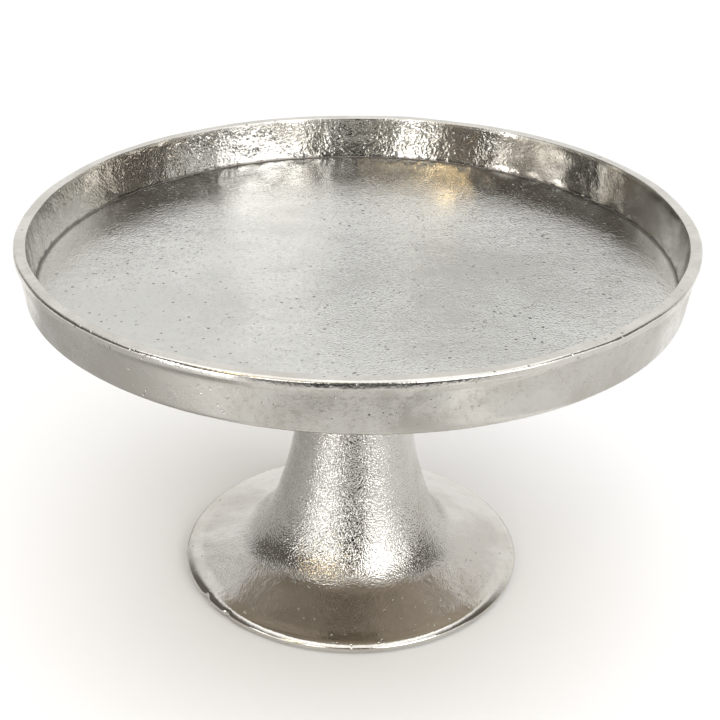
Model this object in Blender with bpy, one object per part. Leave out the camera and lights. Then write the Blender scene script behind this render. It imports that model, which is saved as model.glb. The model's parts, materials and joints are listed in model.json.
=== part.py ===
"""Footed cake stand: a sand-cast aluminium tray bolted to a hollow trumpet-shaped pedestal.

Metres, +Z up. The origin is on the table, under the centre of the tray, and the felt pads stand on Z = 0.
Each round part is an outline of (radius, height) points turned about Z.
"""

import math

import bmesh
import bpy
from mathutils import Vector
from mathutils.geometry import interpolate_bezier

# Driving dimensions
RIM_RADIUS = 0.1525  # 12 in tray over the rim
STAND_HEIGHT = 0.181  # table to rim
TRAY_DEPTH = 0.0213  # rim to floor
FOOT_RADIUS = 0.0828
TOUCH_GAP = 0.0003  # kept between pieces that touch

# Tray casting
RIM_WIDTH = 0.0054
WALL_DRAFT = 0.0024  # how far the inside of the wall leans out over its height
LIP_HEIGHT = 0.0032  # band round the outside of the rim
LIP_STEP = 0.0018  # how far that band stands proud of the wall below it
WALL_FOOT_RADIUS = 0.1485  # outside of the wall, at its bottom corner
FLOOR_THICKNESS = 0.0039
BOSS_RADIUS = 0.0240
BOSS_HEIGHT = 0.0070  # under the floor, to give the thread some depth

# Pedestal casting
NECK_RADIUS = 0.0205
PEDESTAL_WALL = 0.0042
WEB_THICKNESS = 0.0070  # closes the top of the stem
EDGE_THICKNESS = 0.0047  # rolled edge of the foot
LAND_WIDTH = 0.0100  # flat underside of that edge, from its outer radius inwards

# Fastener and pads
STUD_DIAMETER = 0.0080
STUD_SINK = 0.0078  # length in the boss
STUD_HOLE_SPARE = 0.0012  # drilled deeper than the stud goes
STUD_TAIL = 0.0030  # length showing under the nut
CLEARANCE_HOLE_DIAMETER = 0.0090
FLAT_WASHER_DIAMETER = 0.0220
FLAT_WASHER_THICKNESS = 0.0016
SPRING_WASHER_DIAMETER = 0.0148
SPRING_WASHER_THICKNESS = 0.0020
SPRING_WASHER_GAP_DEG = 10.0
NUT_ACROSS_FLATS = 0.0130
NUT_HEIGHT = 0.0065
PAD_COUNT = 4
PAD_DIAMETER = 0.0070
PAD_THICKNESS = 0.0015

# Finishes: colour, roughness, metallic
CAST_NICKEL = ((0.62, 0.60, 0.56), 0.32, 1.0)
ZINC_PLATE = ((0.55, 0.56, 0.58), 0.30, 1.0)
FELT = ((0.16, 0.15, 0.14), 0.95, 0.0)

# Facets
TRAY_STEPS = 90
PEDESTAL_STEPS = 72
SMALL_STEPS = 32
ARC_STEP_DEG = 30.0  # largest turn of an outline between two points on a rounded corner
SMOOTH_BELOW_DEG = 40.0

# Heights that follow from the above
floor_top = STAND_HEIGHT - TRAY_DEPTH
floor_bottom = floor_top - FLOOR_THICKNESS
boss_bottom = floor_bottom - BOSS_HEIGHT
neck_top = boss_bottom - TOUCH_GAP
web_bottom = neck_top - WEB_THICKNESS
foot_bottom = PAD_THICKNESS + TOUCH_GAP
stud_top = boss_bottom + STUD_SINK
nut_top = web_bottom - FLAT_WASHER_THICKNESS - SPRING_WASHER_THICKNESS - 3 * TOUCH_GAP


def clear_scene():
    for thing in list(bpy.data.objects):
        bpy.data.objects.remove(thing)


def make_material(name, finish):
    colour, roughness, metallic = finish
    material = bpy.data.materials.new(name)
    material.use_nodes = True
    shader = material.node_tree.nodes["Principled BSDF"]
    shader.inputs["Base Color"].default_value = (*colour, 1.0)
    shader.inputs["Roughness"].default_value = roughness
    shader.inputs["Metallic"].default_value = metallic
    return material


def rounded_outline(corners):
    """Points of an outline through corners (radius, height, rounding), each rounded corner as an arc."""
    places = [Vector(corner[:2]) for corner in corners]
    points = []
    for i, (place, corner) in enumerate(zip(places, corners)):
        rounding = corner[2]
        if rounding == 0:
            points.append(place)
            continue
        back = (places[i - 1] - place).normalized()
        ahead = (places[i + 1] - place).normalized()
        turn = math.pi - back.angle(ahead)
        reach = rounding * math.tan(turn / 2)
        start = place + back * reach
        centre = place + (back + ahead).normalized() * (rounding / math.cos(turn / 2))
        steps = max(2, math.ceil(math.degrees(turn) / ARC_STEP_DEG))
        side = math.copysign(1.0, back.cross(ahead))
        for step in range(steps + 1):
            angle = -side * turn * step / steps
            spoke = start - centre
            points.append(centre + Vector((
                spoke.x * math.cos(angle) - spoke.y * math.sin(angle),
                spoke.x * math.sin(angle) + spoke.y * math.cos(angle),
            )))
    return [(point.x, point.y) for point in points]


def curve_points(start, start_handle, end_handle, end, count):
    """Points along one Bezier stretch of an outline, both ends included."""
    flat = [Vector((*point, 0.0)) for point in (start, start_handle, end_handle, end)]
    return [(point.x, point.y) for point in interpolate_bezier(*flat, count)]


def new_object(name, bm, finish):
    mesh = bpy.data.meshes.new(name)
    bm.to_mesh(mesh)
    bm.free()
    mesh.materials.append(make_material(f"{name}_finish", finish))
    mesh.shade_smooth()
    mesh.set_sharp_from_angle(angle=math.radians(SMOOTH_BELOW_DEG))
    made = bpy.data.objects.new(name, mesh)
    bpy.context.scene.collection.objects.link(made)
    return made


def turned_mesh(outline, steps, closed):
    """The outline spun about Z. An open outline starts and ends on the axis."""
    bm = bmesh.new()
    rows = [bm.verts.new((radius, 0.0, height)) for radius, height in outline]
    pairs = list(zip(rows, rows[1:])) + ([(rows[-1], rows[0])] if closed else [])
    edges = [bm.edges.new(pair) for pair in pairs]
    bmesh.ops.spin(bm, geom=rows + edges, cent=(0, 0, 0), axis=(0, 0, 1),
                   angle=math.tau, steps=steps, use_merge=True, use_duplicate=False)
    bmesh.ops.remove_doubles(bm, verts=bm.verts, dist=1e-6)
    bmesh.ops.recalc_face_normals(bm, faces=bm.faces)
    return bm


def make_tray():
    inner_rim = RIM_RADIUS - RIM_WIDTH
    wall_top = RIM_RADIUS - LIP_STEP
    hole_radius = STUD_DIAMETER / 2 + TOUCH_GAP
    hole_top = stud_top + STUD_HOLE_SPARE
    outline = rounded_outline([
        (0.0, floor_top, 0.0),
        (inner_rim - WALL_DRAFT, floor_top, 0.0022),
        (inner_rim, STAND_HEIGHT, 0.0007),
        (RIM_RADIUS, STAND_HEIGHT, 0.0014),
        (RIM_RADIUS - 0.0002, STAND_HEIGHT - LIP_HEIGHT, 0.0014),
        (wall_top, STAND_HEIGHT - LIP_HEIGHT - 1.2 * LIP_STEP, 0.0030),
        (WALL_FOOT_RADIUS, floor_bottom, 0.0036),
        (BOSS_RADIUS + 0.0020, floor_bottom, 0.0030),
        (BOSS_RADIUS, boss_bottom, 0.0010),
        (hole_radius, boss_bottom, 0.0),
        (hole_radius, hole_top, 0.0),
        (0.0, hole_top + hole_radius / 2, 0.0),
    ])
    return new_object("tray", turned_mesh(outline, TRAY_STEPS, closed=False), CAST_NICKEL)


def pedestal_skin(inset):
    """Stem and flange from the neck down, moved inwards by inset, as (radius, height) points."""
    stem_foot = (0.0356 - inset * 0.95, 0.0420 - inset * 0.3)
    flange_start = (0.0560 - inset * 0.3, 0.01275 - inset * 0.95)
    flange_end = (FOOT_RADIUS - 0.0058, foot_bottom + EDGE_THICKNESS - 0.0003)
    stem = curve_points(
        (NECK_RADIUS - inset, neck_top),
        (NECK_RADIUS - inset, 0.1180),
        (0.0280 - inset * 0.95, 0.0660 - inset * 0.3),
        stem_foot, 11,
    )
    sweep = curve_points(
        stem_foot,
        (0.0415 - inset * 0.95, 0.0235 - inset * 0.3),
        (0.0475 - inset * 0.3, 0.0153 - inset * 0.95),
        flange_start, 9,
    )
    return stem, sweep[1:], flange_end


def make_pedestal():
    outer_stem, outer_sweep, outer_edge = pedestal_skin(0.0)
    inner_stem, inner_sweep, _ = pedestal_skin(PEDESTAL_WALL)
    hole_radius = CLEARANCE_HOLE_DIAMETER / 2
    rolled_edge = rounded_outline([
        (*outer_edge, 0.0),
        (FOOT_RADIUS - 0.0030, foot_bottom + EDGE_THICKNESS + 0.0002, 0.0),
        (FOOT_RADIUS, foot_bottom + EDGE_THICKNESS, 0.0024),
        (FOOT_RADIUS, foot_bottom, 0.0020),
        (FOOT_RADIUS - LAND_WIDTH, foot_bottom, 0.0),
    ])
    below_web = [point for point in inner_stem if point[1] < web_bottom - 0.004]
    inside = [*reversed(inner_sweep), *reversed(below_web)]
    web = rounded_outline([
        (*below_web[0], 0.0),
        (NECK_RADIUS - PEDESTAL_WALL, web_bottom, 0.0020),
        (hole_radius, web_bottom, 0.0),
        (hole_radius, neck_top, 0.0),
        (NECK_RADIUS, neck_top, 0.0010),
        (*outer_stem[1], 0.0),
    ])
    outline = [*web[1:-1], *outer_stem[1:], *outer_sweep, *rolled_edge, *inside]
    return new_object("pedestal", turned_mesh(outline, PEDESTAL_STEPS, closed=True), CAST_NICKEL)


def make_flat_washer():
    bore = CLEARANCE_HOLE_DIAMETER / 2
    top = web_bottom - TOUCH_GAP
    bottom = top - FLAT_WASHER_THICKNESS
    outline = [
        (bore, top), (FLAT_WASHER_DIAMETER / 2, top),
        (FLAT_WASHER_DIAMETER / 2, bottom), (bore, bottom),
    ]
    return new_object("flat_washer", turned_mesh(outline, SMALL_STEPS, closed=True), ZINC_PLATE)


def make_spring_washer():
    """A split ring whose two ends are left a little apart in height by the cut."""
    bore = CLEARANCE_HOLE_DIAMETER / 2
    top = web_bottom - FLAT_WASHER_THICKNESS - 2 * TOUCH_GAP
    rise = 0.0002
    bm = bmesh.new()
    corners = [
        (bore, top - SPRING_WASHER_THICKNESS),
        (SPRING_WASHER_DIAMETER / 2, top - SPRING_WASHER_THICKNESS),
        (SPRING_WASHER_DIAMETER / 2, top - rise),
        (bore, top - rise),
    ]
    section = [bm.verts.new((radius, 0.0, height)) for radius, height in corners]
    edges = [bm.edges.new((section[i - 1], section[i])) for i in range(len(section))]
    bmesh.ops.spin(bm, geom=section + edges, cent=(0, 0, 0), axis=(0, 0, 1),
                   dvec=(0, 0, rise / SMALL_STEPS), steps=SMALL_STEPS,
                   angle=math.radians(360.0 - SPRING_WASHER_GAP_DEG))
    bmesh.ops.holes_fill(bm, edges=bm.edges, sides=len(section))
    bmesh.ops.recalc_face_normals(bm, faces=bm.faces)
    return new_object("spring_washer", bm, ZINC_PLATE)


def make_stud():
    radius = STUD_DIAMETER / 2
    bottom = nut_top - NUT_HEIGHT - STUD_TAIL
    lead = 0.0008  # bevelled ends, where the thread starts
    outline = [
        (0.0, stud_top), (radius - lead, stud_top), (radius, stud_top - lead),
        (radius, bottom + lead), (radius - lead, bottom), (0.0, bottom),
    ]
    return new_object("threaded_stud", turned_mesh(outline, SMALL_STEPS, closed=False), ZINC_PLATE)


def boolean(target, operation, cutter):
    cutter.hide_render = True
    cutter.display_type = "WIRE"
    modifier = target.modifiers.new(operation.title(), "BOOLEAN")
    modifier.operation = operation
    modifier.object = cutter


def make_nut():
    """Hexagon, with its corners taken off by a turned double cone and its bore cut through."""
    bottom = nut_top - NUT_HEIGHT
    corner_radius = NUT_ACROSS_FLATS / 2 / math.cos(math.radians(30))
    bm = bmesh.new()
    base = bmesh.ops.create_circle(bm, cap_ends=True, radius=corner_radius, segments=6)
    bmesh.ops.translate(bm, verts=base["verts"], vec=(0, 0, bottom))
    raised = bmesh.ops.extrude_face_region(bm, geom=list(bm.faces))["geom"]
    top_verts = [item for item in raised if isinstance(item, bmesh.types.BMVert)]
    bmesh.ops.translate(bm, verts=top_verts, vec=(0, 0, NUT_HEIGHT))
    bmesh.ops.recalc_face_normals(bm, faces=bm.faces)
    nut = new_object("hex_nut", bm, ZINC_PLATE)

    over = 0.0006  # the cutters reach this far past the nut
    cone_radius = corner_radius + over
    flat_radius = NUT_ACROSS_FLATS / 2 * 0.97
    fall = (cone_radius - flat_radius) * math.tan(math.radians(30))
    double_cone = [
        (0.0, nut_top + over), (flat_radius, nut_top + over), (flat_radius, nut_top),
        (cone_radius, nut_top - fall), (cone_radius, bottom + fall),
        (flat_radius, bottom), (flat_radius, bottom - over), (0.0, bottom - over),
    ]
    bore_radius = STUD_DIAMETER / 2 + TOUCH_GAP
    bore = [
        (0.0, nut_top + over), (bore_radius, nut_top + over),
        (bore_radius, bottom - over), (0.0, bottom - over),
    ]
    for name, operation, outline in (
        ("nut_corner_cone", "INTERSECT", double_cone),
        ("nut_bore", "DIFFERENCE", bore),
    ):
        cutter = new_object(name, turned_mesh(outline, SMALL_STEPS, closed=False), ZINC_PLATE)
        boolean(nut, operation, cutter)
    return nut


def make_pads():
    """Felt discs glued under the foot's flat land, a little compressed at their rims."""
    radius = PAD_DIAMETER / 2
    ring_radius = FOOT_RADIUS - LAND_WIDTH * 0.6
    outline = rounded_outline([
        (0.0, PAD_THICKNESS, 0.0),
        (radius, PAD_THICKNESS, 0.0),
        (radius, 0.0, 0.0003),
        (0.0, 0.0, 0.0),
    ])
    for number in range(1, PAD_COUNT + 1):
        angle = math.tau * (number - 0.5) / PAD_COUNT
        disc = turned_mesh(outline, SMALL_STEPS // 2, closed=False)
        pad = new_object(f"felt_pad_{number}", disc, FELT)
        pad.location = (ring_radius * math.cos(angle), ring_radius * math.sin(angle), 0.0)


def main():
    clear_scene()
    make_tray()
    make_pedestal()
    make_flat_washer()
    make_spring_washer()
    make_stud()
    make_nut()
    make_pads()


main()
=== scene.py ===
import json
import math
import random

import bmesh
import bpy
from mathutils import Matrix, Vector, noise
from mathutils.geometry import interpolate_bezier


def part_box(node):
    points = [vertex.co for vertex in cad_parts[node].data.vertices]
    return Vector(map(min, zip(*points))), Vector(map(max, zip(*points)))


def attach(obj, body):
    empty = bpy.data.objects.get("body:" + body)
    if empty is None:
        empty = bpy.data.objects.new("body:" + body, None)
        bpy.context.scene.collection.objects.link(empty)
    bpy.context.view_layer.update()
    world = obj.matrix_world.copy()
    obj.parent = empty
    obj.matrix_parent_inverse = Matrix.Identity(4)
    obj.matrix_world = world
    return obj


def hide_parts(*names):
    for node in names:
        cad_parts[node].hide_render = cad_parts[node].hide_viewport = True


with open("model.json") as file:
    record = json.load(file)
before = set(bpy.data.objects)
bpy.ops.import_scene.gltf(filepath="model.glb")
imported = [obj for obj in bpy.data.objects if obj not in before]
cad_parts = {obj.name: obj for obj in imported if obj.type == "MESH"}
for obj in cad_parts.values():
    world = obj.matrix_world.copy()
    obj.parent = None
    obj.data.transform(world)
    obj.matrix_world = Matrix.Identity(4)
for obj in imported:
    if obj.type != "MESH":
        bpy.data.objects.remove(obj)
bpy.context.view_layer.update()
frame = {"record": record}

scene = bpy.context.scene
mm = 0.001

# Heights and radii that every piece is built from
trayLow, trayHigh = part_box("tray")
footLow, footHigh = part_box("pedestal")
rimTop = trayHigh.z
rimRadius = trayHigh.x
bossBottom = trayLow.z
neckTop = footHigh.z
footBottom = footLow.z
footRadius = footHigh.x
floorTop = next(m["pos_m"][2] for m in frame["record"]["mounts"] if m["name"] == "cake_rest")


def arcCorner(before, corner, after, rounding, stepDeg=12.0):
    # the points of a rounded corner between two straight runs
    back = (before - corner).normalized()
    ahead = (after - corner).normalized()
    turn = math.pi - back.angle(ahead)
    start = corner + back * rounding * math.tan(turn / 2)
    centre = corner + (back + ahead).normalized() * (rounding / math.cos(turn / 2))
    steps = max(2, math.ceil(math.degrees(turn) / stepDeg))
    side = math.copysign(1.0, back.cross(ahead))
    spoke = start - centre
    return [centre + Matrix.Rotation(-side * turn * i / steps, 2) @ spoke for i in range(steps + 1)]


def roundedRun(corners, spacing):
    # corners are (radius, height, rounding); straight runs are cut to about the spacing
    places = [Vector(c[:2]) for c in corners]
    points = []
    for i, (place, corner) in enumerate(zip(places, corners)):
        if corner[2]:
            stretch = arcCorner(places[i - 1], place, places[i + 1], corner[2])
        else:
            stretch = [place]
        if points:
            gap = (stretch[0] - points[-1]).length
            cuts = max(1, round(gap / spacing))
            last = points[-1]
            points += [last.lerp(stretch[0], j / cuts) for j in range(1, cuts)]
        points += stretch
    return points


def curveRun(start, startHandle, endHandle, end, spacing):
    flat = [Vector((*p, 0.0)) for p in (start, startHandle, endHandle, end)]
    rough = interpolate_bezier(*flat, 40)
    length = sum((b - a).length for a, b in zip(rough, rough[1:]))
    return [p.xy for p in interpolate_bezier(*flat, max(4, round(length / spacing)))]


def turnRuns(runs, steps, closed):
    # runs are (points, material index); each run's faces keep its index
    bm = bmesh.new()
    tag = bm.edges.layers.int.new("owner")
    points = []
    owners = []
    for run, index in runs:
        fresh = run if not points else run[1:]
        points += fresh
        owners += [index] * (len(fresh) - (0 if owners else 1))
    verts = [bm.verts.new((p.x, 0.0, p.y)) for p in points]
    edges = [bm.edges.new(pair) for pair in zip(verts, verts[1:])]
    if closed:
        edges.append(bm.edges.new((verts[-1], verts[0])))
        owners.append(owners[-1])
    for edge, owner in zip(edges, owners):
        edge[tag] = owner
    bmesh.ops.spin(bm, geom=verts + edges, cent=(0, 0, 0), axis=(0, 0, 1),
                   angle=math.tau, steps=steps, use_merge=True, use_duplicate=False)
    for face in bm.faces:
        face.material_index = max(edge[tag] for edge in face.edges)
        face.smooth = True
    bmesh.ops.remove_doubles(bm, verts=bm.verts, dist=2e-6)
    bmesh.ops.recalc_face_normals(bm, faces=bm.faces)
    return bm


def newPiece(name, bm, materials, node, sharpDeg=40):
    mesh = bpy.data.meshes.new(name)
    bm.to_mesh(mesh)
    bm.free()
    for material in materials:
        mesh.materials.append(material)
    mesh.set_sharp_from_angle(angle=math.radians(sharpDeg))
    piece = bpy.data.objects.new(name, mesh)
    scene.collection.objects.link(piece)
    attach(piece, "root")
    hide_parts(node)
    return piece


def smoothStep(low, high, value):
    t = min(1.0, max(0.0, (value - low) / (high - low)))
    return t * t * (3 - 2 * t)


def lumps(place, size, detail=2):
    # soft noise from -1 to 1 with features of about the given size
    return noise.fractal(place / size, 0.6, 2.0, detail)


def swell(place, heightAndSize, detail=2):
    # the same with a real height
    height, size = heightAndSize
    return height * lumps(place, size, detail)


def addNode(tree, kind, **settings):
    node = tree.nodes.new(kind)
    for key, value in settings.items():
        setattr(node, key, value)
    return node


def setInputs(node, **values):
    for key, value in values.items():
        node.inputs[key.replace("_", " ")].default_value = value
    return node


def feed(tree, socket, value):
    # the value is another node's output, a number, or a colour without its alpha
    if isinstance(value, bpy.types.NodeSocket):
        tree.links.new(value, socket)
    elif isinstance(value, tuple):
        socket.default_value = (*value, 1.0)
    else:
        socket.default_value = value


def newGroup(name, inputs, outputs):
    group = bpy.data.node_groups.new(name, "ShaderNodeTree")
    for key, default in inputs.items():
        socket = group.interface.new_socket(key, in_out="INPUT", socket_type="NodeSocketFloat")
        socket.default_value = default
    for key in outputs:
        group.interface.new_socket(key, in_out="OUTPUT", socket_type="NodeSocketFloat")
    return group, addNode(group, "NodeGroupInput"), addNode(group, "NodeGroupOutput")


def useGroup(tree, group, **values):
    return setInputs(addNode(tree, "ShaderNodeGroup", node_tree=group), **values)


def math2(tree, operation, a, b, clamp=False):
    node = addNode(tree, "ShaderNodeMath", operation=operation, use_clamp=clamp)
    feed(tree, node.inputs[0], a)
    feed(tree, node.inputs[1], b)
    return node.outputs[0]


def ramp(tree, value, stops):
    node = addNode(tree, "ShaderNodeMapRange", interpolation_type="SMOOTHSTEP", clamp=True)
    tree.links.new(value, node.inputs["Value"])
    node.inputs["From Min"].default_value, node.inputs["From Max"].default_value = stops
    return node.outputs["Result"]


def scaled(tree, coords, scale):
    node = addNode(tree, "ShaderNodeVectorMath", operation="SCALE")
    tree.links.new(coords, node.inputs[0])
    feed(tree, node.inputs["Scale"], scale)
    return node.outputs[0]


def softNoise(tree, coords, perMetre, detail, roughness=0.5, distortion=0.0):
    node = addNode(tree, "ShaderNodeTexNoise")
    setInputs(node, Scale=1.0, Detail=detail, Roughness=roughness, Distortion=distortion)
    tree.links.new(scaled(tree, coords, perMetre), node.inputs["Vector"])
    return node.outputs["Fac"]


def scatteredHoles(tree, coords, perMetre, rim, where, patches):
    # one hole for each cell, kept only where the slow noise is high
    cells = addNode(tree, "ShaderNodeTexVoronoi", feature="F1")
    setInputs(cells, Scale=perMetre, Randomness=1.0)
    tree.links.new(coords, cells.inputs["Vector"])
    hole = math2(tree, "SUBTRACT", 1.0, ramp(tree, cells.outputs["Distance"], rim))
    return math2(tree, "MULTIPLY", hole, ramp(tree, where, patches))


def mixTone(tree, share, first, second):
    node = addNode(tree, "ShaderNodeMix", data_type="RGBA")
    for socket, value in zip((node.inputs[0], node.inputs[6], node.inputs[7]), (share, first, second)):
        feed(tree, socket, value)
    return node.outputs[2]


def newMaterial(name):
    material = bpy.data.materials.new(name)
    material.use_nodes = True
    return material, material.node_tree, material.node_tree.nodes["Principled BSDF"]


def roughBetween(tree, shader, share, low, high):
    node = addNode(tree, "ShaderNodeMapRange")
    feed(tree, node.inputs["To Min"], low)
    feed(tree, node.inputs["To Max"], high)
    tree.links.new(share, node.inputs["Value"])
    tree.links.new(node.outputs["Result"], shader.inputs["Roughness"])


def bumpInto(tree, shader, height, strength, distance):
    bump = addNode(tree, "ShaderNodeBump")
    setInputs(bump, Strength=strength, Distance=distance)
    tree.links.new(height, bump.inputs["Height"])
    tree.links.new(bump.outputs["Normal"], shader.inputs["Normal"])


def makeSandGrain():
    # sand-mould skin: packed grains, softer lumps under them and a few pin holes
    group, given, out = newGroup(
        "sandMouldSkin",
        {"Grains per metre": 900.0, "Grain depth": 1.0, "Lump depth": 0.5, "Pit amount": 0.3},
        ("Height", "Pits"))
    coords = addNode(group, "ShaderNodeTexCoord").outputs["Object"]
    perMetre = given.outputs["Grains per metre"]
    grains = addNode(group, "ShaderNodeTexVoronoi", feature="SMOOTH_F1", distance="EUCLIDEAN")
    setInputs(grains, Scale=1.0, Smoothness=0.6, Randomness=1.0)
    group.links.new(scaled(group, coords, perMetre), grains.inputs["Vector"])
    fine = softNoise(group, coords, math2(group, "MULTIPLY", perMetre, 0.8), 1.0, 0.45)
    soft = softNoise(group, coords, math2(group, "MULTIPLY", perMetre, 0.22), 2.0)
    rare = softNoise(group, coords, 45.0, 1.0)
    pins = scatteredHoles(group, coords, 170.0, (0.05, 0.13), rare, (0.56, 0.62))
    specks = scatteredHoles(group, coords, 330.0, (0.08, 0.22), soft, (0.50, 0.62))
    pits = math2(group, "MAXIMUM", pins, math2(group, "MULTIPLY", specks, 0.6))
    pits = math2(group, "MULTIPLY", pits, given.outputs["Pit amount"])
    grain = math2(group, "ADD", math2(group, "MULTIPLY", grains.outputs["Distance"], -0.6), fine)
    grain = math2(group, "MULTIPLY", grain, given.outputs["Grain depth"])
    lump = math2(group, "MULTIPLY", soft, given.outputs["Lump depth"])
    height = math2(group, "ADD", grain, lump)
    height = math2(group, "SUBTRACT", height, math2(group, "MULTIPLY", pits, 2.0))
    group.links.new(height, out.inputs["Height"])
    group.links.new(pits, out.inputs["Pits"])
    return group


def makeTarnish():
    # slow cloudy change of tone, as raw nickel gets in the hand and on the shelf
    group, given, out = newGroup(
        "cloudyTarnish", {"Cloud size": 0.05, "Speckle amount": 0.3}, ("Mask",))
    coords = addNode(group, "ShaderNodeTexCoord").outputs["Object"]
    perMetre = math2(group, "DIVIDE", 1.0, given.outputs["Cloud size"])
    clouds = ramp(group, softNoise(group, coords, perMetre, 4.0, 0.62, 0.4), (0.36, 0.68))
    specks = ramp(group, softNoise(group, coords, 420.0, 2.0, 0.7), (0.52, 0.70))
    specks = math2(group, "MULTIPLY", specks, given.outputs["Speckle amount"])
    group.links.new(math2(group, "ADD", clouds, specks, clamp=True), out.inputs["Mask"])
    return group


sandGrain = makeSandGrain()
tarnish = makeTarnish()
# tones mixed into the base colour: near-black for pin holes, and painted shade for the tray's inside
# corner
holeAndCornerTones = {
    "pits": (0.05, 0.045, 0.04),
    "corner": (0.13, 0.115, 0.10),
}


def distanceShare(tree, centre, stops):
    # 0 near the centre and 1 further out, measured level
    shift = addNode(tree, "ShaderNodeVectorMath", operation="SUBTRACT")
    shift.inputs[1].default_value = (*centre, 0)
    tree.links.new(addNode(tree, "ShaderNodeTexCoord").outputs["Object"], shift.inputs[0])
    level = addNode(tree, "ShaderNodeVectorMath", operation="MULTIPLY")
    level.inputs[1].default_value = (1, 1, 0)
    tree.links.new(shift.outputs[0], level.inputs[0])
    radius = addNode(tree, "ShaderNodeVectorMath", operation="LENGTH")
    tree.links.new(level.outputs[0], radius.inputs[0])
    return ramp(tree, radius.outputs["Value"], stops)


def castMetal(name, look, outer, blend):
    # one look all over, or a second look that takes over further out, from the centre
    # and between the distances that blend gives
    material, tree, shader = newMaterial(name)
    shader.inputs["Metallic"].default_value = 1.0
    share = distanceShare(tree, *blend) if outer else None

    def either(key):
        if share is None or look[key] == outer[key]:
            return look[key]
        if isinstance(look[key], tuple):
            return mixTone(tree, share, look[key], outer[key])
        node = addNode(tree, "ShaderNodeMix", data_type="FLOAT")
        feed(tree, node.inputs[0], share)
        feed(tree, node.inputs[2], look[key])
        feed(tree, node.inputs[3], outer[key])
        return node.outputs[0]

    skin = useGroup(tree, sandGrain, Grains_per_metre=look["grains"], Pit_amount=look["pits"])
    feed(tree, skin.inputs["Grain depth"], either("grainDepth"))
    feed(tree, skin.inputs["Lump depth"], either("lumpDepth"))
    clouds = useGroup(tree, tarnish, Cloud_size=look["cloudSize"], Speckle_amount=look["specks"])
    cloudy = clouds.outputs["Mask"]
    # painted shade: the tray's corner attribute darkens the base colour towards the corner tone
    paintedCornerShade = addNode(tree, "ShaderNodeAttribute", attribute_name="paintedCornerShade")
    metal = mixTone(tree, cloudy, either("bright"), either("dull"))
    pitted = mixTone(tree, skin.outputs["Pits"], metal, holeAndCornerTones["pits"])
    cornerShadedTone = mixTone(tree, paintedCornerShade.outputs["Fac"], pitted, holeAndCornerTones["corner"])
    tree.links.new(cornerShadedTone, shader.inputs["Base Color"])
    roughBetween(tree, shader, cloudy, either("roughBright"), either("roughDull"))
    bumpInto(tree, shader, skin.outputs["Height"], 1.0, 1.0 * mm)
    return material


# grains are counted per metre; grain and lump depths are in millimetres
castLooks = {
    "floorMiddle": {
        "bright": (0.56, 0.56, 0.535), "dull": (0.45, 0.445, 0.42),
        "roughBright": 0.20, "roughDull": 0.32, "grains": 1300.0, "grainDepth": 0.37,
        "lumpDepth": 0.12, "pits": 0.6, "cloudSize": 0.06, "specks": 0.8,
    },
    "trayFloor": {
        "bright": (0.65, 0.645, 0.62), "dull": (0.57, 0.565, 0.54),
        "roughBright": 0.10, "roughDull": 0.18, "grains": 1300.0, "grainDepth": 0.125,
        "lumpDepth": 0.10, "pits": 0.5, "cloudSize": 0.06, "specks": 0.8,
    },
    "calmWall": {
        "bright": (0.66, 0.65, 0.62), "dull": (0.52, 0.49, 0.44),
        "roughBright": 0.08, "roughDull": 0.15, "grains": 700.0, "grainDepth": 0.04,
        "lumpDepth": 0.05, "pits": 0.2, "cloudSize": 0.05, "specks": 0.3,
    },
    "trayInnerWall": {
        "bright": (0.68, 0.67, 0.64), "dull": (0.54, 0.51, 0.46),
        "roughBright": 0.07, "roughDull": 0.16, "grains": 700.0, "grainDepth": 0.13,
        "lumpDepth": 0.20, "pits": 0.2, "cloudSize": 0.05, "specks": 0.3,
    },
    "trayRim": {
        "bright": (0.64, 0.62, 0.58), "dull": (0.54, 0.52, 0.48),
        "roughBright": 0.14, "roughDull": 0.28, "grains": 900.0, "grainDepth": 0.05,
        "lumpDepth": 0.10, "pits": 0.4, "cloudSize": 0.03, "specks": 0.4,
    },
    "trayOuterWall": {
        "bright": (0.56, 0.545, 0.51), "dull": (0.46, 0.44, 0.40),
        "roughBright": 0.18, "roughDull": 0.32, "grains": 900.0, "grainDepth": 0.03,
        "lumpDepth": 0.06, "pits": 0.1, "cloudSize": 0.035, "specks": 0.5,
    },
    # darker, browner underside: the rough as-cast skin, and also painted shade standing in for the
    # shaded floor under the tray
    "trayUnderside": {
        "bright": (0.50, 0.44, 0.36), "dull": (0.36, 0.31, 0.25),
        "roughBright": 0.35, "roughDull": 0.50, "grains": 700.0, "grainDepth": 0.4,
        "lumpDepth": 0.8, "pits": 0.5, "cloudSize": 0.05, "specks": 0.6,
    },
    "stem": {
        "bright": (0.58, 0.57, 0.54), "dull": (0.50, 0.48, 0.44),
        "roughBright": 0.05, "roughDull": 0.12, "grains": 1450.0, "grainDepth": 0.225,
        "lumpDepth": 0.15, "pits": 0.1, "cloudSize": 0.04, "specks": 0.2,
    },
    "flange": {
        "bright": (0.64, 0.62, 0.59), "dull": (0.52, 0.49, 0.45),
        "roughBright": 0.16, "roughDull": 0.28, "grains": 1450.0, "grainDepth": 0.09,
        "lumpDepth": 0.12, "pits": 0.15, "cloudSize": 0.04, "specks": 0.2,
    },
    "footEdge": {
        "bright": (0.66, 0.64, 0.60), "dull": (0.55, 0.52, 0.47),
        "roughBright": 0.08, "roughDull": 0.16, "grains": 1450.0, "grainDepth": 0.03,
        "lumpDepth": 0.06, "pits": 0.1, "cloudSize": 0.04, "specks": 0.2,
    },
    "pedestalInside": {
        "bright": (0.36, 0.33, 0.29), "dull": (0.24, 0.21, 0.18),
        "roughBright": 0.50, "roughDull": 0.70, "grains": 600.0, "grainDepth": 0.5,
        "lumpDepth": 1.0, "pits": 0.6, "cloudSize": 0.03, "specks": 0.6,
    },
}
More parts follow.
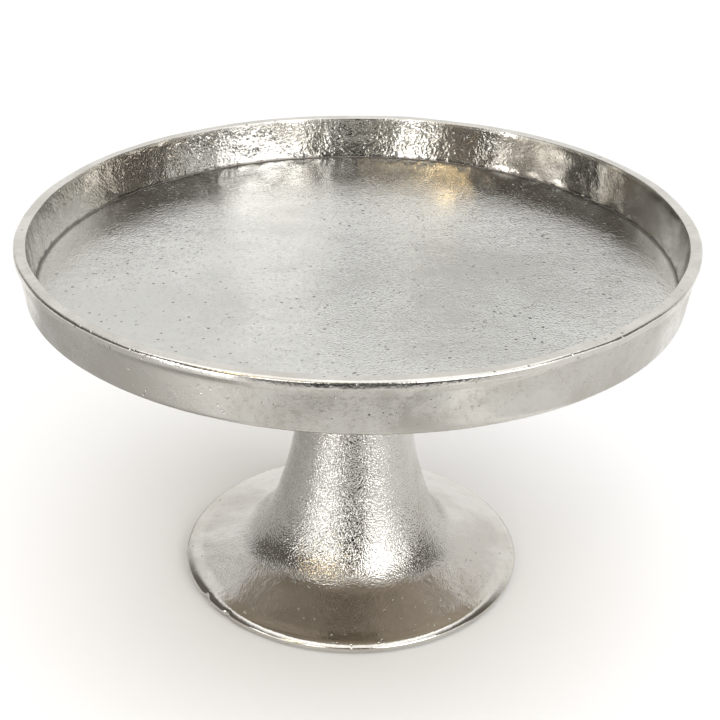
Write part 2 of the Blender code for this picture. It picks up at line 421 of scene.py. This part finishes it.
# inner look, outer look, and the centre and distances of the change from one to the other
castBlends = {
    "trayFloor": ("floorMiddle", "trayFloor", ((0.035, -0.050), (0.030, 0.125))),
    "trayInnerWall": ("calmWall", "trayInnerWall", ((0.150, 0.020), (0.095, 0.165))),
    "trayRim": ("trayRim", None, None),
    "trayOuterWall": ("trayOuterWall", None, None),
    "trayUnderside": ("trayUnderside", None, None),
    "stem": ("stem", "flange", ((0, 0), (0.042, 0.062))),
    "footEdge": ("flange", "footEdge", ((0, 0), (0.0725, 0.0770))),
    "pedestalInside": ("pedestalInside", None, None),
}
castMaterials = {
    name: castMetal(name + "Nickel", castLooks[inner], castLooks.get(outer), blend)
    for name, (inner, outer, blend) in castBlends.items()
}
print("materials: nickelled castings ready")


tray = {
    "rimWidth": 5.4 * mm,
    "rimInnerRounding": 0.5 * mm,
    "rimOuterRounding": 1.3 * mm,
    "wallDraft": 2.6 * mm,       # lean of the wall's inside
    "junctionRounding": 0.5 * mm,
    "lipHeight": 3.4 * mm,
    "lipDraft": 0.3 * mm,
    "lipStep": 1.6 * mm,         # how far the lip stands out, and the height it runs out over
    "lipRunout": 2.2 * mm,
    "lipRoundings": (1.6 * mm, 3.0 * mm),
    "wallFootRadius": 148.4 * mm,
    "wallFootRounding": 3.8 * mm,
    "floorThickness": 3.9 * mm,
    "bossRadius": 24.0 * mm,
    "bossDraft": 2.0 * mm,
    "bossRoundings": (3.0 * mm, 1.0 * mm),
    "boreRadius": 4.3 * mm,
    "boreDepth": 9.0 * mm,
    "drillPoint": 2.0 * mm,
    "turnSteps": 640,
    "lean": 2.0 * mm,            # the right edge stands this much high, the left edge as much low
    "waves": 0.45 * mm,          # hand-finished rim, a little up and down and in and out
    "waveSizes": (0.35, 0.30),   # smaller gives more waves round the rim
    "paintedShadeReach": 1.5 * mm,           # how far the painted shade reaches out of the inside corner
    "paintedShadeStrength": 0.85,
    "calm": 0.75,                # how much smoother the wall's right side is
    # unevenness of the cast skin: height and size
    "wallDents": (0.085 * mm, 3.2 * mm),
    "wallSwells": (0.25 * mm, 16 * mm),
    "floorSwells": (0.10 * mm, 14 * mm),
    "floorSag": (0.16 * mm, 45 * mm),
    "cornerWander": (0.35 * mm, 9 * mm),
    "outerDents": (0.03 * mm, 7 * mm),
    "outerSwells": (0.16 * mm, 36 * mm),
}


def makeTray():
    t = tray
    floorBottom = floorTop - t["floorThickness"]
    innerTop = rimRadius - t["rimWidth"]
    rimMiddle = innerTop + t["rimWidth"] / 2
    junction = innerTop - t["wallDraft"]
    lipBottom = rimTop - t["lipHeight"]
    floorEnd = t["wallFootRadius"] - 12 * mm
    boreTop = bossBottom + t["boreDepth"]
    inner = roundedRun([
        (0.0, floorTop, 0.0),
        (junction, floorTop, t["junctionRounding"]),
        (innerTop, rimTop, t["rimInnerRounding"]),
        (rimMiddle, rimTop, 0.0),
    ], 1.3 * mm)
    outer = roundedRun([
        (rimMiddle, rimTop, 0.0),
        (rimRadius, rimTop, t["rimOuterRounding"]),
        (rimRadius - t["lipDraft"], lipBottom, t["lipRoundings"][0]),
        (rimRadius - t["lipStep"], lipBottom - t["lipRunout"], t["lipRoundings"][1]),
        (t["wallFootRadius"], floorBottom, t["wallFootRounding"]),
        (floorEnd, floorBottom, 0.0),
    ], 1.5 * mm)
    under = roundedRun([
        (floorEnd, floorBottom, 0.0),
        (t["bossRadius"] + t["bossDraft"], floorBottom, t["bossRoundings"][0]),
        (t["bossRadius"], bossBottom, t["bossRoundings"][1]),
        (t["boreRadius"], bossBottom, 0.0),
        (t["boreRadius"], boreTop, 0.0),
        (0.0, boreTop + t["drillPoint"], 0.0),
    ], 5.0 * mm)
    # the floor needs far fewer rings than the wall
    wallStart = floorTop + 0.2 * mm
    fineStart = junction - 4 * mm
    floorRun = [p for i, p in enumerate(inner) if p.x < fineStart and i % 3 == 0]
    floorRun += [p for p in inner if p.x >= fineStart and p.y < wallStart]
    rimStart = rimTop - 0.5 * mm
    wallRun = [floorRun[-1]] + [p for p in inner if wallStart <= p.y < rimStart]
    rimRun = [wallRun[-1]] + [p for p in inner if p.y >= rimStart]
    lipEnd = lipBottom - 0.5 * mm
    rimOuter = [p for p in outer if p.y >= lipEnd]
    wallOuter = [rimOuter[-1]] + [p for p in outer if p.y < lipEnd]
    bm = turnRuns([
        (floorRun, 0), (wallRun, 1), (rimRun, 2), (rimOuter, 2), (wallOuter, 3), (under, 4),
    ], t["turnSteps"], closed=False)

    up = Vector((0, 0, 1))
    paintedCornerShade = bm.verts.layers.float.new("paintedCornerShade")
    corner = Vector((junction, floorTop))
    for vert in bm.verts:
        place = vert.co.copy()
        radius = place.xy.length
        outward = Vector((place.x, place.y, 0)).normalized() if radius > 1e-6 else Vector()
        inside = radius < innerTop + 0.2 * mm and place.z > floorTop - 0.1 * mm
        away = (Vector((radius, place.z)) - corner).length
        # painted shade: strongest at the floor-to-wall corner, fading out over the reach
        vert[paintedCornerShade] = t["paintedShadeStrength"] * (1 - smoothStep(0.3 * mm, t["paintedShadeReach"], away))
        height = smoothStep(floorTop, rimTop, place.z)
        topSide = smoothStep(floorBottom + 0.5 * mm, floorTop, place.z)
        shift = up * (t["lean"] * place.x / rimRadius * topSide)
        ring = outward * 1.6                     # a circle through the noise, so waves close
        shift += up * (t["waves"] * height * lumps(ring, t["waveSizes"][0], 1))
        shift += outward * (t["waves"] * height * lumps(ring + up * 3, t["waveSizes"][1], 1))
        if inside and height > 0.02:
            edge = 1 - smoothStep(rimTop - 2.5 * mm, rimTop - 0.4 * mm, place.z)
            calm = 1 - t["calm"] * smoothStep(0.25, 0.6, outward.x)
            shift += outward * (edge * calm * swell(place, t["wallDents"]))
            shift += outward * (edge * swell(place + up, t["wallSwells"]))
        elif inside:
            shift += up * (swell(place, t["floorSwells"]) + swell(place, t["floorSag"], 1))
            edge = smoothStep(junction - 8 * mm, junction, radius)
            shift += outward * (edge * swell(place, t["cornerWander"]))
        elif place.z > floorBottom - 0.5 * mm and radius > floorEnd - 2 * mm:
            shift += outward * (swell(place, t["outerDents"]) + swell(place, t["outerSwells"], 1))
        vert.co += shift
    names = ("trayFloor", "trayInnerWall", "trayRim", "trayOuterWall", "trayUnderside")
    return newPiece("castTray", bm, [castMaterials[n] for n in names], "tray")


castTray = makeTray()
print("tray:", len(castTray.data.polygons), "faces")


pedestal = {
    "neckRadius": 20.5 * mm,
    "neckChamfer": 0.8 * mm,
    "wall": 4.2 * mm,
    "web": 7.0 * mm,
    "webRounding": 2.0 * mm,
    "holeRadius": 4.5 * mm,
    # the flare: radius and height where the stem ends and where the flange starts, and the
    # handles of the two curves that lead there
    "stemFoot": (35.6 * mm, 42.0 * mm),
    "flangeStart": (56.0 * mm, 12.75 * mm),
    "stemHandleHeight": 118.0 * mm,
    "stemHandle": (28.0 * mm, 66.0 * mm),
    "sweepHandles": ((41.5 * mm, 23.5 * mm), (47.5 * mm, 15.3 * mm)),
    # the rolled edge of the foot
    "edgeThickness": 4.7 * mm,
    "edgeWidth": 8.2 * mm,
    "edgeRoundings": (4.6 * mm, 1.3 * mm, 1.4 * mm),
    "land": 10.0 * mm,
    "turnSteps": 400,
    # unevenness of the cast skin: height and size
    "pebbles": (0.035 * mm, 2.0 * mm),
    "swells": (0.22 * mm, 16 * mm),
    # low raised pimples on the front of the flange
    "pimples": 16,
    "pimpleSize": 1.0 * mm,
    "pimpleHeight": 0.30 * mm,
    "pimpleFacing": (-50, 70),   # degrees from the front
    "pimpleSpread": (50 * mm, 74 * mm),
    # soft nicks in the foot's edge: direction in degrees from the front, width and depth
    "nicks": ((-57, 4.2 * mm, 1.2 * mm), (-45, 3.8 * mm, 1.0 * mm)),
}


def stemCurve(inset, spacing):
    p = pedestal
    start = (p["neckRadius"] - inset, neckTop)
    steep = Vector((-0.95, -0.3)) * inset        # towards the inside, square to the stem
    flat = Vector((-0.3, -0.95)) * inset         # and square to the flange
    stemFoot = Vector(p["stemFoot"]) + steep
    flangeStart = Vector(p["flangeStart"]) + flat
    upper, lower = (Vector(handle) for handle in p["sweepHandles"])
    stem = curveRun(start, (start[0], p["stemHandleHeight"]), Vector(p["stemHandle"]) + steep,
                    stemFoot, spacing)
    sweep = curveRun(stemFoot, upper + steep, lower + flat, flangeStart, spacing)
    return stem + sweep[1:]


def makePedestal():
    p = pedestal
    skin = stemCurve(0.0, 0.85 * mm)
    hidden = 85 * mm                             # above this the stem needs fewer rings
    stemRun = [q for i, q in enumerate(skin) if q.y <= hidden or i % 3 == 0]
    edgeTop = footBottom + p["edgeThickness"]
    flangeEnd = (footRadius - p["edgeWidth"], edgeTop + 0.7 * mm)
    flangeRun = roundedRun([(*stemRun[-1], 0.0), (*flangeEnd, 0.0)], 1.0 * mm)
    edgeRun = roundedRun([
        (*flangeEnd, 0.0),
        (footRadius - 2.2 * mm, edgeTop - 0.3 * mm, p["edgeRoundings"][0]),
        (footRadius, footBottom + 2.4 * mm, p["edgeRoundings"][1]),
        (footRadius - 0.2 * mm, footBottom, p["edgeRoundings"][2]),
        (footRadius - p["land"], footBottom, 0.0),
    ], 0.8 * mm)
    webBottom = neckTop - p["web"]
    inner = [q for q in stemCurve(p["wall"], 3.0 * mm) if q.y < webBottom - 4 * mm]
    insideRun = [Vector((footRadius - p["land"], footBottom))] + list(reversed(inner))
    webRun = roundedRun([
        (*inner[0], 0.0),
        (p["neckRadius"] - p["wall"], webBottom, p["webRounding"]),
        (p["holeRadius"], webBottom, 0.0),
        (p["holeRadius"], neckTop, 0.0),
        (p["neckRadius"] - p["neckChamfer"], neckTop, 0.0),
        (p["neckRadius"], neckTop - p["neckChamfer"], 0.0),
    ], 3.0 * mm)
    stemRun = [q for q in stemRun if q.y < neckTop - p["neckChamfer"] - 0.1 * mm]
    bm = turnRuns([
        (stemRun, 0), (flangeRun, 0), (edgeRun, 1), (insideRun, 2), (webRun, 2),
    ], p["turnSteps"], closed=True)

    chance = random.Random(4)
    pimples = []
    for _ in range(p["pimples"]):
        facing = math.radians(chance.uniform(*p["pimpleFacing"]))
        spread = chance.uniform(*p["pimpleSpread"])
        pimples.append(Vector((math.sin(facing), -math.cos(facing))) * spread)
    bm.normal_update()
    # the hollow side stays a plain turned shape
    hollow = {v for f in bm.faces if f.material_index == 2 for v in f.verts}
    moves = []
    for vert in bm.verts:
        place = vert.co
        if vert in hollow:
            moves.append(Vector())
            continue
        spread = place.xy.length
        onFlange = smoothStep(46 * mm, 60 * mm, spread)
        amount = (0.25 + 0.75 * onFlange) * swell(place, p["pebbles"]) + swell(place, p["swells"])
        if spread > 46 * mm and place.y < 0:
            nearest = min((place.xy - q).length for q in pimples)
            amount += p["pimpleHeight"] * math.exp(-(nearest / (p["pimpleSize"] * 0.7)) ** 2)
        quiet = smoothStep(footRadius - 8 * mm, footRadius - 3 * mm, spread)
        moves.append(vert.normal * amount * (1 - 0.75 * quiet))
    for vert, move in zip(bm.verts, moves):
        vert.co += move
        if vert.co.xy.length > footRadius - 5 * mm and vert.co.z < edgeTop:
            outward = Vector((vert.co.x, vert.co.y, 0)).normalized()
            facing = math.degrees(math.atan2(outward.x, -outward.y))
            under = 1 - smoothStep(footBottom + 2.4 * mm, footBottom + 4.2 * mm, vert.co.z)
            for direction, width, depth in p["nicks"]:
                across = math.radians(facing - direction) * footRadius / width
                vert.co -= outward * depth * under * math.exp(-4 * across * across)
    names = ("stem", "footEdge", "pedestalInside")
    return newPiece("castPedestal", bm, [castMaterials[n] for n in names], "pedestal")


castPedestal = makePedestal()
print("pedestal:", len(castPedestal.data.polygons), "faces")


hardware = {
    "pitch": 1.25 * mm,
    "threadDepth": 0.75 * mm,
    "threadSteps": 64,           # per turn
    "leadIn": 0.7 * mm,
    "nutFlats": 13.0 * mm,
    "nutBore": 3.55 * mm,
    "nutBoreChamfer": 0.6 * mm,
    "nutChamferDeg": 30.0,
    "nutFaceShare": 0.94,        # of the width over the flats, where the chamfer starts
    "nutSteps": 144,
    "washerBore": 4.3 * mm,
    "washerRounding": 0.2 * mm,
    "washerSteps": 120,
    "springGapDeg": 10.0,
    "springSteps": 90,
    "springRounding": 0.15 * mm,
}


def zincSteel():
    material, tree, shader = newMaterial("zincPlatedSteel")
    shader.inputs["Metallic"].default_value = 1.0
    clouds = useGroup(tree, tarnish, Cloud_size=0.006, Speckle_amount=0.5)
    cloudy = clouds.outputs["Mask"]
    tone = mixTone(tree, cloudy, (0.66, 0.67, 0.67), (0.55, 0.54, 0.49))
    tree.links.new(tone, shader.inputs["Base Color"])
    roughBetween(tree, shader, cloudy, 0.24, 0.42)
    skin = useGroup(tree, sandGrain, Grains_per_metre=2600.0, Grain_depth=0.3, Lump_depth=0.3,
                    Pit_amount=0.0)
    bumpInto(tree, shader, skin.outputs["Height"], 0.5, 0.1 * mm)
    return material


def woolFelt():
    material, tree, shader = newMaterial("pressedWoolFelt")
    setInputs(shader, Roughness=0.95, Specular_IOR_Level=0.15, Sheen_Weight=0.35)
    coords = addNode(tree, "ShaderNodeTexCoord").outputs["Object"]
    fibres = softNoise(tree, coords, 2400.0, 4.0, 0.7, 2.2)
    share = ramp(tree, fibres, (0.32, 0.70))
    tone = mixTone(tree, share, (0.030, 0.029, 0.028), (0.105, 0.100, 0.095))
    tree.links.new(tone, shader.inputs["Base Color"])
    bumpInto(tree, shader, fibres, 0.8, 0.3 * mm)
    return material


zinc = zincSteel()
felt = woolFelt()


def turnedLoop(corners, spacing, steps):
    # a closed ring body from corners (radius, height, rounding)
    run = roundedRun(corners + [(*corners[0][:2], 0.0)], spacing)[:-1]
    return turnRuns([(run, 0)], steps, closed=True)


def makeStud():
    low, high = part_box("threaded_stud")
    major = high.x
    minor = major - hardware["threadDepth"]
    pitch = hardware["pitch"]
    bm = bmesh.new()
    # one turn of the thread: radius, and how far along the pitch
    outline = ((minor, 0.0), (minor, 0.15), (major, 0.44), (major, 0.56), (minor, 0.85), (minor, 1.0))
    verts = [bm.verts.new((radius, 0, part * pitch)) for radius, part in outline]
    edges = [bm.edges.new(pair) for pair in zip(verts, verts[1:])]
    turns = math.ceil((high.z - low.z) / pitch) + 3
    steps = hardware["threadSteps"] * turns
    bmesh.ops.spin(bm, geom=verts + edges, cent=(0, 0, 0), axis=(0, 0, 1),
                   dvec=(0, 0, pitch * turns / steps), angle=math.tau * turns, steps=steps,
                   use_merge=False, use_duplicate=False)
    bmesh.ops.remove_doubles(bm, verts=bm.verts, dist=1e-6)
    bmesh.ops.translate(bm, verts=bm.verts, vec=(0, 0, low.z - 1.5 * pitch))
    for height, normal in ((low.z, -1), (high.z, 1)):
        cut = bmesh.ops.bisect_plane(bm, geom=bm.verts[:] + bm.edges[:] + bm.faces[:], dist=1e-7,
                                     plane_co=(0, 0, height), plane_no=(0, 0, normal), clear_outer=True)
        rim = [e for e in cut["geom_cut"] if isinstance(e, bmesh.types.BMEdge) and e.is_boundary]
        bmesh.ops.contextual_create(bm, geom=rim)
    caps = [e for e in bm.edges if e.is_boundary]
    if caps:
        bmesh.ops.holes_fill(bm, edges=caps, sides=0)
    for vert in bm.verts:                       # lead-in at both ends
        nearest = min(vert.co.z - low.z, high.z - vert.co.z)
        limit = minor + min(1.0, nearest / hardware["leadIn"]) * (major - minor)
        radius = vert.co.xy.length
        if radius > limit:
            vert.co.xy *= limit / radius
    for face in bm.faces:
        face.smooth = True
    bmesh.ops.recalc_face_normals(bm, faces=bm.faces)
    return newPiece("clampStud", bm, [zinc], "threaded_stud", sharpDeg=30)


def makeNut():
    low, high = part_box("hex_nut")
    apothem = hardware["nutFlats"] / 2
    corner = apothem / math.cos(math.pi / 6)
    face = apothem * hardware["nutFaceShare"]
    slope = (corner - face) * math.tan(math.radians(hardware["nutChamferDeg"]))
    bore = hardware["nutBore"]
    chamfer = hardware["nutBoreChamfer"]
    bm = turnedLoop([
        (bore, low.z + chamfer, 0.0), (bore + chamfer, low.z, 0.0), (face, low.z, 0.0),
        (corner, low.z + slope, 0.0), (corner, high.z - slope, 0.0), (face, high.z, 0.0),
        (bore + chamfer, high.z, 0.0), (bore, high.z - chamfer, 0.0),
    ], 0.25 * mm, hardware["nutSteps"])
    for vert in bm.verts:                       # the six flats
        radius = vert.co.xy.length
        turn = math.atan2(vert.co.y, vert.co.x) % (math.pi / 3) - math.pi / 6
        reach = apothem / math.cos(turn)
        if radius > reach:
            vert.co.xy *= reach / radius
    bmesh.ops.recalc_face_normals(bm, faces=bm.faces)
    return newPiece("clampNut", bm, [zinc], "hex_nut", sharpDeg=22)


def makeFlatWasher():
    low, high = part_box("flat_washer")
    bore = hardware["washerBore"]
    soft = hardware["washerRounding"]
    bm = turnedLoop([
        (bore, (low.z + high.z) / 2, 0.0), (bore, low.z, soft), (high.x, low.z, soft),
        (high.x, high.z, soft * 2), (bore, high.z, soft),
    ], 1.2 * mm, hardware["washerSteps"])
    return newPiece("clampWasher", bm, [zinc], "flat_washer")


def makeSpringWasher():
    low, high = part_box("spring_washer")
    gap = math.radians(hardware["springGapDeg"])
    outside = high.x
    bm = bmesh.new()
    bmesh.ops.create_grid(bm, x_segments=1, y_segments=1, size=0.5)
    width = outside - hardware["washerBore"]
    bmesh.ops.scale(bm, verts=bm.verts, vec=(width, high.z - low.z, 1))
    bmesh.ops.rotate(bm, verts=bm.verts, cent=(0, 0, 0), matrix=Matrix.Rotation(math.pi / 2, 3, "X"))
    middle = (outside - width / 2, 0, (low.z + high.z) / 2)
    bmesh.ops.translate(bm, verts=bm.verts, vec=middle)
    bmesh.ops.rotate(bm, verts=bm.verts, cent=(0, 0, 0), matrix=Matrix.Rotation(gap / 2, 3, "Z"))
    bmesh.ops.spin(bm, geom=bm.verts[:] + bm.edges[:] + bm.faces[:], cent=(0, 0, 0), axis=(0, 0, 1),
                   angle=math.tau - gap, steps=hardware["springSteps"], use_duplicate=False)
    bmesh.ops.recalc_face_normals(bm, faces=bm.faces)
    crisp = [e for e in bm.edges if e.is_manifold and e.calc_face_angle() > 1.0]
    bmesh.ops.bevel(bm, geom=crisp, offset=hardware["springRounding"], offset_type="OFFSET",
                    segments=2, profile=0.5, affect="EDGES", material=-1)
    for face in bm.faces:
        face.smooth = True
    return newPiece("splitWasher", bm, [zinc], "spring_washer")


feltFoot = {
    "topRounding": 0.3 * mm,
    "sideRounding": 0.4 * mm,
    "squash": 0.15 * mm,         # the rim at the bottom is this much smaller
    "fuzz": (0.12 * mm, 0.5 * mm),
    "turnSteps": 72,
}


def makeFeltFoot(number):
    node = "felt_pad_%d" % number
    low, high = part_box(node)
    centre = (low + high) / 2
    radius = (high.x - low.x) / 2
    top, bottom = high.z - centre.z, low.z - centre.z
    side = feltFoot["sideRounding"]
    run = roundedRun([
        (0.0, top, 0.0), (radius - 0.05 * mm, top, feltFoot["topRounding"]), (radius, 0.0, side),
        (radius - feltFoot["squash"], bottom, side), (0.0, bottom, 0.0),
    ], 0.3 * mm)
    bm = turnRuns([(run, 0)], feltFoot["turnSteps"], closed=False)
    for vert in bm.verts:                       # loose fibres make the side uneven
        spread = vert.co.xy.length / radius
        fuzz = swell(vert.co + Vector((number, 0, 0)), feltFoot["fuzz"], 3)
        vert.co.xy *= 1 + min(0.0, fuzz / radius) * spread
    bmesh.ops.translate(bm, verts=bm.verts, vec=centre)
    return newPiece("feltFoot%d" % number, bm, [felt], node)


for piece in (makeStud(), makeNut(), makeFlatWasher(), makeSpringWasher()):
    print(piece.name + ":", len(piece.data.polygons), "faces")
for number in range(1, 5):
    makeFeltFoot(number)
print("felt feet: 4")


studio = {
    "floorSize": 12.0,
    "aimHeight": 0.1,                    # the softboxes look at this height on the axis
    "floorTone": (0.95, 0.95, 0.945),
    "paperTone": (1.07, 1.07, 1.06),     # the pale paper behind the stand
    "roomTone": (0.16, 0.145, 0.13),     # the dim room on the other sides
    "paperFrom": (0.32, 0.82),           # how the one turns into the other, front to back
    "paperSkew": 0.20,                   # and how much the right side is favoured
    "ceilingTone": (1.75, 1.75, 1.75),   # the bright scrim overhead
    "ceilingFrom": (0.62, 0.84),
    # name: direction from the stand in degrees (0 is the camera's side, + to the right),
    # height angle, distance, width, height, radiance, colour
    "softboxes": {
        "leftLow": (-41, -7, 0.44, 0.15, 0.09, 3.2, (1.0, 1.0, 1.0)),
        "leftCentre": (-21, 12, 1.4, 0.34, 0.32, 6.5, (1.0, 0.99, 0.97)),
        "leftEdge": (-57, 9, 1.4, 0.20, 0.24, 8.0, (1.0, 1.0, 1.0)),
        "warmBulb": (-39, 34, 1.4, 0.19, 0.19, 8.5, (1.0, 0.78, 0.45)),
        "warmGlow": (-20, 34, 1.4, 0.60, 0.24, 1.3, (1.0, 0.86, 0.64)),
        "rightFront": (36, 20, 1.4, 0.90, 0.95, 3.6, (1.0, 1.0, 1.0)),
        "rightLow": (66, 10, 1.4, 0.60, 0.24, 2.4, (1.0, 1.0, 1.0)),
    },
    # name: place, size, the point it faces and its tone
    "cards": {
        "behindCamera": ((-0.02, -1.50, 0.40), (0.90, 0.80), (0.0, 0.0, 0.1), 0.012),
        "tableFront": ((0.10, -0.84, 0.002), (0.80, 0.96), (0.10, -0.84, 1.0), 0.012),
        # tableMiddle, tableRight and tableLeft are painted shade: greyer floor seen only in reflections
        "tableMiddle": ((-0.04, -0.27, 0.0015), (0.36, 0.17), (-0.04, -0.27, 1.0), 0.72),
        "tableRight": ((0.36, -0.20, 0.001), (0.34, 0.60), (0.36, -0.20, 1.0), 0.72),
        "tableLeft": ((-0.30, -0.06, 0.001), (0.40, 0.46), (-0.30, -0.06, 1.0), 0.50),
    },
}


def aimAt(place, target):
    return (target - place).to_track_quat("-Z", "Y").to_matrix().to_4x4()


def around(azimuth, elevation, distance, centre):
    a, e = math.radians(azimuth), math.radians(elevation)
    direction = Vector((math.sin(a) * math.cos(e), -math.cos(a) * math.cos(e), math.sin(e)))
    return centre + direction * distance


def plainMaterial(name, tone, roughness):
    material, tree, shader = newMaterial(name)
    feed(tree, shader.inputs["Base Color"], tone)
    setInputs(shader, Roughness=roughness, Specular_IOR_Level=0.1)
    return material


def newSheet(name, width, height, material):
    bm = bmesh.new()
    bmesh.ops.create_grid(bm, x_segments=1, y_segments=1, size=0.5)
    bmesh.ops.scale(bm, verts=bm.verts, vec=(width, height, 1))
    mesh = bpy.data.meshes.new(name)
    bm.to_mesh(mesh)
    bm.free()
    mesh.materials.append(material)
    sheet = bpy.data.objects.new(name, mesh)
    scene.collection.objects.link(sheet)
    return sheet


def makeWorld():
    world = bpy.data.worlds.new("studioAir")
    scene.world = world
    world.use_nodes = True
    air = world.node_tree
    direction = addNode(air, "ShaderNodeSeparateXYZ")
    air.links.new(addNode(air, "ShaderNodeTexCoord").outputs["Generated"], direction.inputs[0])
    sideways = math2(air, "MULTIPLY", direction.outputs["X"], studio["paperSkew"])
    backness = math2(air, "ADD", direction.outputs["Y"], sideways)
    behind = ramp(air, backness, studio["paperFrom"])
    room = mixTone(air, behind, studio["roomTone"], studio["paperTone"])
    overhead = ramp(air, direction.outputs["Z"], studio["ceilingFrom"])
    room = mixTone(air, overhead, room, studio["ceilingTone"])
    # the camera itself sees pale paper all round
    direct = addNode(air, "ShaderNodeLightPath").outputs["Is Camera Ray"]
    seen = mixTone(air, direct, room, studio["paperTone"])
    air.links.new(seen, air.nodes["Background"].inputs["Color"])


def makeStudio():
    makeWorld()
    floorPaint = plainMaterial("paleFloorPaint", studio["floorTone"], 0.9)
    newSheet("paleFloor", studio["floorSize"], studio["floorSize"], floorPaint)

    middle = Vector((0, 0, studio["aimHeight"]))
    for name, box in studio["softboxes"].items():
        azimuth, elevation, distance, width, height, radiance, colour = box
        lamp = bpy.data.lights.new(name, "AREA")
        lamp.shape = "RECTANGLE"
        lamp.size, lamp.size_y = width, height
        lamp.energy = radiance * math.pi * width * height
        lamp.color = colour
        lampObject = bpy.data.objects.new(name, lamp)
        place = around(azimuth, elevation, distance, middle)
        lampObject.matrix_world = Matrix.Translation(place) @ aimAt(place, middle)
        scene.collection.objects.link(lampObject)

    for name, (place, (width, height), faces, tone) in studio["cards"].items():
        # the grey table cards give painted shade of the floor in reflections; the near-black ones are
        # the dark room side
        cardPaint = plainMaterial(name + "Cloth", (tone, tone, tone), 1.0)
        card = newSheet(name, width, height, cardPaint)
        place = Vector(place)
        card.matrix_world = Matrix.Translation(place) @ aimAt(place, Vector(faces))
        card.visible_camera = False
        card.visible_shadow = False
        card.visible_diffuse = False


camera = {
    "place": (0.0, -603.9 * mm, 427.5 * mm),
    "lens": 72.0,
    "pitchDeg": 27.72,           # down from level
    "yawDeg": 0.22,
    "rollDeg": 1.31,
}


def makeCamera():
    data = bpy.data.cameras.new("standCamera")
    data.lens = camera["lens"]
    data.sensor_width = 36.0
    data.clip_start = 0.01
    cam = bpy.data.objects.new("standCamera", data)
    turn = Matrix.Rotation(-math.radians(camera["yawDeg"]), 4, "Z")
    tip = Matrix.Rotation(math.radians(90 - camera["pitchDeg"]), 4, "X")
    spin = Matrix.Rotation(math.radians(camera["rollDeg"]), 4, "Z")
    cam.matrix_world = Matrix.Translation(camera["place"]) @ turn @ tip @ spin
    scene.collection.objects.link(cam)
    scene.camera = cam


makeStudio()
makeCamera()
scene.view_settings.view_transform = "Standard"
print("studio: floor, lamps and camera placed")
